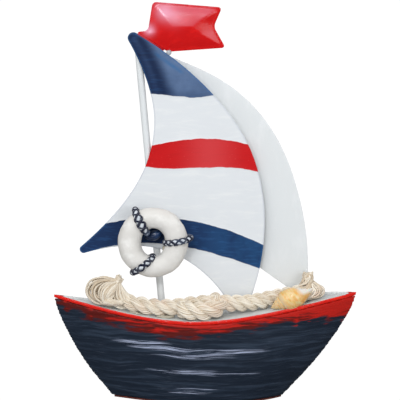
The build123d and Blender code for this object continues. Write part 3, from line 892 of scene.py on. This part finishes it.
# Points, directions and distance travelled along a line, with a side that doesn't twist.
def framesAlong(line, up, closed=False):
    frames = []
    travelled = 0.0
    count = len(line)
    for i, point in enumerate(line):
        if closed:
            ahead = line[(i + 1) % count] - line[i - 1]
        else:
            ahead = line[min(i + 1, count - 1)] - line[max(i - 1, 0)]
        along = ahead.normalized()
        up = (up - along * up.dot(along)).normalized()
        if i:
            travelled += (point - line[i - 1]).length
        frames.append((point, along, up, along.cross(up), travelled))
    return frames


# Round cords along many lines, as one mesh; tones holds one value for each line.
def tubesMesh(name, lines, radii, tones, closed=False, roundness=1):
    curve = bpy.data.curves.new(name, "CURVE")
    curve.dimensions = "3D"
    curve.bevel_depth = 1.0
    curve.bevel_resolution = roundness
    curve.use_fill_caps = False
    for line, radius in zip(lines, radii):
        spline = curve.splines.new("POLY")
        spline.points.add(len(line) - 1)
        for i, place in enumerate(line):
            spline.points[i].co = (*place, 1)
            spline.points[i].radius = radius[i] if isinstance(radius, (list, tuple)) else radius
        spline.use_cyclic_u = closed
    holder = bpy.data.objects.new(name, curve)
    mesh = bpy.data.meshes.new_from_object(holder)
    bpy.data.objects.remove(holder)
    total = sum(len(line) for line in lines)
    sides = len(mesh.vertices) // total
    values = []
    for line, tone in zip(lines, tones):
        values += [tone] * (len(line) * sides)
    storeValues(mesh, "tone", values)
    if not closed:
        bm = bmesh.new()
        bm.from_mesh(mesh)
        bmesh.ops.holes_fill(bm, edges=[edge for edge in bm.edges if edge.is_boundary], sides=20)
        bm.to_mesh(mesh)
        bm.free()
    for face in mesh.polygons:
        face.use_smooth = True
    return mesh


def buildWraps(settings, middle, ring, tube):
    for nodeName, own in settings["wraps"].items():
        low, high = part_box(nodeName)
        centre = (low + high) / 2
        outward = Vector((centre.x - middle.x, 0, centre.z - middle.z)).normalized()
        heart = middle + outward * ring
        outward = Matrix.Rotation(math.radians(own["turned"]), 3, "Y") @ outward
        forward = Vector((0, -1, 0))
        thick = max(strand[0] + strand[1] for strand in settings["strands"])
        bm = bmesh.new()
        bmesh.ops.create_circle(bm, cap_ends=False, segments=settings["points"],
                                radius=tube + (thick - settings["sink"]) * mm)
        line = [heart + outward * vertex.co.x + forward * vertex.co.y for vertex in bm.verts]
        bm.free()
        frames = framesAlong(line, outward.cross(forward), closed=True)
        length = frames[-1][4] + (line[0] - line[-1]).length
        lines, radii, tones = [], [], []
        for offset, radius, way, start, tone in settings["strands"]:
            points = []
            widths = []
            for point, along, side, cross, travelled in frames:
                turn = own["phase"] + start + way * 2 * math.pi * settings["turns"] * travelled / length
                turn += settings["wander"] * noise.noise(point / (2.6 * mm) + Vector((0, 0, start)))
                front = max((point - heart).normalized().dot(forward), 0) ** 2
                wide = 1 + (own["swell"] - 1) * front
                points.append(point + (side * math.cos(turn) * wide + cross * math.sin(turn))
                              * offset * mm)
                widths.append(radius * mm * (0.6 + 0.4 * wide))
            lines.append(points)
            radii.append(widths)
            tones.append(tone)
        mesh = tubesMesh(nodeName + "Cord", lines, radii, tones, closed=True)
        newPiece(nodeName + "Cord", mesh, wrapCord, "wrap_cord", nodeName)


buoyPlace = buildBuoy(buoySettings)
buildWraps(wrapSettings, *buoyPlace)
print("lifebuoy wrapped")


# ---- rope along the deck, its bight and its two frayed ends

ropeSettings = {
    "route": [(-58.0, -4.0, 62.4), (-40.0, -9.5, 59.6), (-25.0, -12.8, 58.0), (-9.0, -12.4, 60.2),
              (7.0, -12.0, 61.4), (21.0, -11.4, 60.6), (33.0, -8.8, 61.5), (46.0, -5.2, 63.7),
              (61.0, -3.4, 66.2)],
    "strandOffset": 2.6, "pitches": (25.0, 18.0), "yarns": 12, "yarnRing": 2.08, "yarnRadius": 0.5,
    "yarnPitch": -40.0, "coreRadius": 1.95, "phase": 0.6, "seed": 3,
}
bightSettings = {
    "route": [(-8.5, -8.0, 57.4), (-13.4, -12.5, 57.8), (-11.8, -18.2, 58.4), (-4.0, -20.0, 57.6),
              (4.0, -19.2, 58.2), (8.6, -15.6, 60.0), (8.2, -11.6, 62.0), (3.0, -9.4, 61.6)],
    "strandOffset": 2.9, "pitches": (20.0, 24.0), "yarns": 12, "yarnRing": 2.34, "yarnRadius": 0.56,
    "yarnPitch": -36.0, "coreRadius": 2.2, "phase": 2.4, "seed": 5,
}


# Points in millimetres read back from a smooth curve that has them as its control points.
def smoothRoute(points, steps=20, closed=False):
    curve = bpy.data.curves.new("route", "CURVE")
    curve.dimensions = "3D"
    curve.resolution_u = steps
    spline = curve.splines.new("NURBS")
    spline.points.add(len(points) - 1)
    for i, place in enumerate(points):
        spline.points[i].co = (*(value * mm for value in place), 1)
    spline.order_u = 3
    spline.use_endpoint_u = not closed
    spline.use_cyclic_u = closed
    holder = bpy.data.objects.new("route", curve)
    mesh = bpy.data.meshes.new_from_object(holder)
    line = [vertex.co.copy() for vertex in mesh.vertices]
    bpy.data.objects.remove(holder)
    return line


def twistedRope(name, settings):
    dice = random.Random(settings["seed"])
    frames = framesAlong(smoothRoute(settings["route"]), Vector((0, 0, 1)))
    lines, radii, tones = [], [], []
    rates = [1 / (pitch * mm) for pitch in settings["pitches"]]
    length = frames[-1][4]
    for strand in range(3):
        start = settings["phase"] + strand * 2 * math.pi / 3
        core = []
        for point, along, side, cross, travelled in frames:
            rate = rates[0] + (rates[1] - rates[0]) * travelled / length / 2
            turn = start + 2 * math.pi * travelled * rate
            core.append(point + (side * math.cos(turn) + cross * math.sin(turn))
                        * settings["strandOffset"] * mm)
        lines.append(core)
        radii.append(settings["coreRadius"] * mm)
        # the strand's core, seen between the yarns, gets a dark tone: painted shade in the grooves
        tones.append(0.1)
        for yarn in range(settings["yarns"]):
            first = yarn * 2 * math.pi / settings["yarns"] + dice.uniform(-0.1, 0.1)
            reach = settings["yarnRing"] + dice.uniform(-0.12, 0.12)
            points = []
            for place, (point, along, side, cross, travelled) in zip(core, frames):
                turn = first + 2 * math.pi * travelled / (settings["yarnPitch"] * mm)
                points.append(place + (side * math.cos(turn) + cross * math.sin(turn)) * reach * mm)
            lines.append(points)
            radii.append((settings["yarnRadius"] + dice.uniform(-0.06, 0.06)) * mm)
            tones.append(dice.uniform(0.45, 1.0))
    return tubesMesh(name, lines, radii, tones)


newPiece("deckRope", twistedRope("deckRope", ropeSettings), cotton, "cotton", "deck_rope")
newPiece("ropeBight", twistedRope("ropeBight", bightSettings), cotton, "cotton", "rope_knot")

bowTuftSettings = {
    "name": "bowTuft", "node": "rope_fray_bow", "seed": 11, "yarnRadius": 0.72, "jitter": 0.3,
    "loopTurns": 1.0,
    # yarns looped over a ball, from its foot to its neck, fanned towards the bow
    "ball": (-62.4, -5.0, 66.6), "ballSize": (12.6, 6.6, 9.2), "foot": (-59.0, -9.4, 61.6),
    "neck": (-52.9, -4.2, 71.8), "tip": (-50.8, -4.0, 74.8), "loops": 15, "loopWidth": 1.6,
    "fan": (-1, -25.0, 80.0), "lead": (-49.0, -9.0, 61.2), "spreads": (2.6, 1.6, 1.2, 2.1),
    "runs": [
        {"yarns": 18, "turns": 0.25, "widths": [2.4, 2.8, 2.6, 2.2, 2.0, 2.6],
         "route": [(-44.5, -8.6, 62.0), (-48.4, -7.6, 64.4), (-50.8, -6.2, 68.4),
                   (-52.2, -5.0, 71.6), (-51.6, -4.5, 73.2), (-49.8, -4.0, 75.2)]},
        {"yarns": 34, "turns": 0.3, "widths": [3.0, 4.6, 5.4, 5.4, 3.6, 1.6],
         "route": [(-50.0, -6.5, 62.0), (-57.5, -5.5, 64.0), (-64.0, -5.0, 65.6),
                   (-63.6, -5.0, 70.0), (-57.0, -4.6, 70.4), (-53.0, -4.2, 72.6)]},
        {"yarns": 16, "turns": 0.3, "widths": [3.4, 3.8, 2.8, 1.5],
         "route": [(-49.0, -8.8, 61.6), (-52.2, -8.8, 64.6), (-53.0, -7.0, 68.6),
                   (-52.6, -4.8, 72.6)]},
    ],
}
sternTuftSettings = {
    "name": "sternTuft", "node": "rope_fray_stern", "seed": 12, "yarnRadius": 0.66, "jitter": 0.4,
    "loopTurns": 1.0,
    "ball": (66.0, -4.6, 66.0), "ballSize": (9.4, 4.8, 5.0), "foot": (60.0, -7.4, 64.0),
    "neck": (62.2, -4.0, 71.6), "tip": (61.6, -3.8, 76.8), "loops": 10, "loopWidth": 1.35,
    "fan": (1, -26.0, 44.0), "lead": (53.0, -6.0, 65.0), "spreads": (2.6, 1.8, 2.6, 3.2),
    "runs": [
        {"yarns": 20, "turns": 0.4, "widths": [3.4, 3.8, 4.0, 4.2, 4.0, 3.0],
         "route": [(57.0, -5.0, 66.5), (60.0, -4.6, 69.0), (61.6, -4.2, 71.6), (61.6, -4.0, 74.4),
                   (61.8, -3.8, 76.6), (62.2, -3.8, 78.2)]},
        {"yarns": 24, "turns": 0.3, "widths": [3.2, 3.8, 3.8, 3.2, 2.8, 2.6],
         "route": [(55.0, -5.0, 65.0), (61.0, -4.6, 65.8), (67.0, -4.4, 65.8), (68.4, -4.2, 68.0),
                   (65.0, -4.0, 70.4), (62.4, -4.0, 72.6)]},
    ],
}


def loopRuns(settings, dice):
    foot, neck, tip, ball = [Vector(settings[key]) for key in ("foot", "neck", "tip", "ball")]
    side, firstLean, lastLean = settings["fan"]
    leadSpread, footSpread, neckSpread, tipSpread = settings["spreads"]
    loops = settings["loops"]
    for loop in range(2 * loops):
        # half the loops pass in front of the ball and half behind it
        outward = 1 - 1.25 * (loop // 2 + dice.uniform(0.2, 0.8)) / loops
        facing = math.sqrt(1 - outward * outward) * (1 if loop % 2 else -1)

        def wayAt(share):
            lean = math.radians(firstLean + (lastLean - firstLean) * share)
            return Vector((side * math.cos(lean) * outward, facing, math.sin(lean) * outward))

        route = [Vector(settings["lead"]) + wayAt(0) * leadSpread, foot + wayAt(0) * footSpread]
        for share in (0.08, 0.25, 0.45, 0.65, 0.85):
            place = foot.lerp(neck, share)
            way = wayAt(share)
            # how far along the way the ball's skin lies from here
            square, cross, rest = 0.0, 0.0, -1.0
            for part, gap, size in zip(way, place - ball, settings["ballSize"]):
                square += (part / size) ** 2
                cross += part * gap / size ** 2
                rest += (gap / size) ** 2
            reach = (math.sqrt(max(cross * cross - square * rest, 0)) - cross) / square
            reach *= math.sin(math.pi * share) ** 0.3 * dice.uniform(0.94, 1.03)
            route.append(place + way * max(reach, neckSpread))
        route.append(neck + wayAt(1) * neckSpread)
        stray = Vector([dice.uniform(-1, 1) for axis in range(3)])
        route.append(tip + wayAt(1) * tipSpread + stray)
        wide = settings["loopWidth"]
        yield {"yarns": 3, "turns": settings["loopTurns"], "even": True, "route": route,
               "widths": [wide, wide, wide, wide, wide * 0.8, wide * 0.75]}


def yarnBundle(settings):
    dice = random.Random(settings["seed"])
    noise.seed_set(settings["seed"])
    lines, radii, tones = [], [], []
    for run in settings["runs"] + list(loopRuns(settings, dice)):
        frames = framesAlong(smoothRoute(run["route"], 10), Vector((0, 0.2, 1)))
        length = frames[-1][4]
        stations = np.linspace(0, 1, len(run["widths"]))
        tone = dice.uniform(0.1, 1.0)
        for yarn in range(run["yarns"]):
            spread = math.sqrt(dice.uniform(0.02, 1.0))
            start = dice.uniform(0, 2 * math.pi)
            if "even" in run:
                spread = 1.0
                start = yarn * 2 * math.pi / run["yarns"]
            drift = Vector([dice.uniform(-50, 50) for axis in range(3)])
            last = 1 - dice.uniform(0, 0.06)
            points = []
            widths = []
            for point, along, side, cross, travelled in frames:
                share = travelled / length
                if share > last:
                    break
                wide = float(np.interp(share, stations, run["widths"]))
                turn = start + 2 * math.pi * run["turns"] * share
                stray = noise.noise_vector(drift + Vector((0, 0, travelled / (9 * mm))))
                stray *= settings["jitter"] * (0.4 + 0.6 * share)
                reach = (side * math.cos(turn) + cross * math.sin(turn)) * (wide - 0.55) * spread
                points.append(point + (reach + stray) * mm)
                widths.append(settings["yarnRadius"] * mm * (1 - 0.25 * share))
            lines.append(points)
            radii.append(widths)
            tones.append(min(max(tone + dice.uniform(-0.25, 0.25), 0), 1))
    mesh = tubesMesh(settings["name"], lines, radii, tones)
    newPiece(settings["name"], mesh, cotton, "cotton", settings["node"])


yarnBundle(bowTuftSettings)
yarnBundle(sternTuftSettings)
print("rope laid")


# ---- sea shell

shellSettings = {
    "tip": (39.0, -14.8, 58.4), "tilt": 28.0, "roll": 15.0, "turns": 8.0, "stepsPerTurn": 44,
    "growth": 1.4, "ribs": 0.1, "lipFrom": 19.5,
    # half of the mouth's outline: distance out from the axis, distance down from the tip
    "mouth": [(3.9, 8.4), (6.1, 8.9), (7.1, 10.9), (7.4, 13.8), (7.2, 16.6), (6.7, 19.4),
              (5.7, 22.0), (4.2, 24.5), (2.4, 26.6), (1.0, 28.4), (0.4, 27.0), (0.3, 23.0),
              (0.3, 17.0), (1.0, 12.5), (2.9, 8.9)],
}


def buildShell(settings):
    ringPoints = smoothRoute([(out, 0, down) for out, down in settings["mouth"]], 4, closed=True)
    count = len(ringPoints)
    for i, place in enumerate(ringPoints):
        if place.x > 2 * mm:
            place.x += math.sin(i * 1.26) * settings["ribs"] * mm
    bm = bmesh.new()
    aroundLayer = bm.verts.layers.float.new("aroundWhorl")
    alongLayer = bm.verts.layers.float.new("alongWhorl")
    lipLayer = bm.verts.layers.float.new("lip")
    ring = [bm.verts.new(place) for place in ringPoints]
    for i, vertex in enumerate(ring):
        vertex[aroundLayer] = i / count
    edges = [bm.edges.new((ring[i], ring[(i + 1) % count])) for i in range(count)]
    steps = int(settings["turns"] * settings["stepsPerTurn"])
    shrink = settings["growth"] ** (-1.0 / settings["stepsPerTurn"])
    turn = Matrix.Rotation(-2 * math.pi / settings["stepsPerTurn"], 3, "Z")
    firstFace = bm.faces.new(ring)
    for step in range(1, steps + 1):
        made = bmesh.ops.extrude_edge_only(bm, edges=edges)
        newVerts = [item for item in made["geom"] if isinstance(item, bmesh.types.BMVert)]
        edges = [item for item in made["geom"] if isinstance(item, bmesh.types.BMEdge)]
        edges = [edge for edge in edges if edge.is_boundary]
        for vertex in newVerts:
            vertex.co = turn @ vertex.co * shrink
            vertex[alongLayer] = step / settings["stepsPerTurn"]
    bmesh.ops.holes_fill(bm, edges=edges, sides=count + 1)
    bmesh.ops.recalc_face_normals(bm, faces=bm.faces)
    bmesh.ops.rotate(bm, verts=bm.verts, cent=(0, 0, 0),
                     matrix=Matrix.Rotation(math.radians(settings["roll"]), 3, "Z"))
    bmesh.ops.rotate(bm, verts=bm.verts, cent=(0, 0, 0),
                     matrix=Matrix.Rotation(math.radians(90 - settings["tilt"]), 3, "Y"))
    tilt = math.radians(settings["tilt"])
    for vertex in bm.verts:
        along = vertex.co.x * math.cos(tilt) + vertex.co.z * math.sin(tilt)
        above = vertex.co.z * math.cos(tilt) - vertex.co.x * math.sin(tilt)
        beyond = along / mm - settings["lipFrom"]
        nearLip = min(max((beyond + above / mm * 0.3) / 2.5, 0), 1)
        vertex[lipLayer] = nearLip * min(max(above / mm / 2 + 0.4 + beyond / 5, 0), 1)
    bmesh.ops.translate(bm, verts=bm.verts, vec=Vector(settings["tip"]) * mm)
    newPiece("snailShell", finishMesh(bm, "snailShell"), shellFinish, "shell", "shell")


buildShell(shellSettings)
print("shell grown")


# ---- floor, world and lights

stageSettings = {"halfSize": 6.0, "worldGlow": 0.48, "mirrorGlow": 0.1, "cameraGlow": 1.05}
lightSettings = [
    {"name": "frontLight", "place": (-0.3, -1.6, 0.98), "size": 0.42, "power": 10.5},
    {"name": "fillLight", "place": (1.0, -1.5, 0.45), "size": 0.9, "power": 7.0},
    {"name": "sideLight", "place": (-0.85, -1.45, 0.78), "size": 0.3, "power": 2.2},
    {"name": "keyLight", "place": (-0.55, -0.62, 1.2), "size": 0.6, "power": 3.0},
    {"name": "topLight", "place": (0.1, 0.2, 1.8), "size": 2.4, "power": 6.0},
]


def buildStage(settings):
    material, tree, shader = startMaterial("paleFloor")
    cloud = placeGroup(tree, specks, {"Scale": 200.0, "Cover": 0.2})
    colour = mixColours(tree, cloud["Cloud"], (0.52, 0.52, 0.52, 1), (0.58, 0.58, 0.58, 1))
    tree.links.new(colour, shader.inputs["Base Color"])
    shader.inputs["Roughness"].default_value = 0.9
    shader.inputs["Specular IOR Level"].default_value = 0.0
    path = addNode(tree, "ShaderNodeLightPath").outputs
    seen = addNode(tree, "ShaderNodeEmission", {"Strength": settings["cameraGlow"]}).outputs[0]
    dim = addNode(tree, "ShaderNodeEmission", {"Strength": settings["mirrorGlow"]}).outputs[0]
    around = addNode(tree, "ShaderNodeMixShader", {0: path["Is Glossy Ray"], 1: shader.outputs[0],
                                                   2: dim}).outputs[0]
    whole = addNode(tree, "ShaderNodeMixShader", {0: path["Is Camera Ray"], 1: around,
                                                  2: seen}).outputs[0]
    output = next(node for node in tree.nodes if node.type == "OUTPUT_MATERIAL")
    tree.links.new(whole, output.inputs["Surface"])
    bm = bmesh.new()
    bmesh.ops.create_grid(bm, x_segments=8, y_segments=8, size=settings["halfSize"])
    mesh = finishMesh(bm, "paleFloor")
    mesh.materials.append(material)
    floor = bpy.data.objects.new("paleFloor", mesh)
    scene.collection.objects.link(floor)
    world = bpy.data.worlds.new("softRoom")
    world.use_nodes = True
    scene.world = world
    room = world.node_tree
    room.nodes.clear()
    glows = {}
    for use in ("worldGlow", "mirrorGlow", "cameraGlow"):
        glows[use] = addNode(room, "ShaderNodeBackground", {"Color": (0.98, 0.99, 1, 1),
                                                            "Strength": settings[use]}).outputs[0]
    path = addNode(room, "ShaderNodeLightPath").outputs
    around = addNode(room, "ShaderNodeMixShader", {0: path["Is Glossy Ray"], 1: glows["worldGlow"],
                                                   2: glows["mirrorGlow"]}).outputs[0]
    whole = addNode(room, "ShaderNodeMixShader", {0: path["Is Camera Ray"], 1: around,
                                                  2: glows["cameraGlow"]}).outputs[0]
    addNode(room, "ShaderNodeOutputWorld", {"Surface": whole})


def buildLights(lights):
    target = Vector((0, 0, 0.1))
    for own in lights:
        lightData = bpy.data.lights.new(own["name"], "AREA")
        lightData.size = own["size"]
        lightData.energy = own["power"]
        lightData.color = (0.95, 0.97, 1.0)
        light = bpy.data.objects.new(own["name"], lightData)
        light.location = own["place"]
        light.rotation_euler = (target - Vector(own["place"])).to_track_quat("-Z", "Y").to_euler()
        scene.collection.objects.link(light)


buildStage(stageSettings)
buildLights(lightSettings)
scene.view_settings.view_transform = "Standard"
scene.view_settings.look = "None"
print("stage lit")
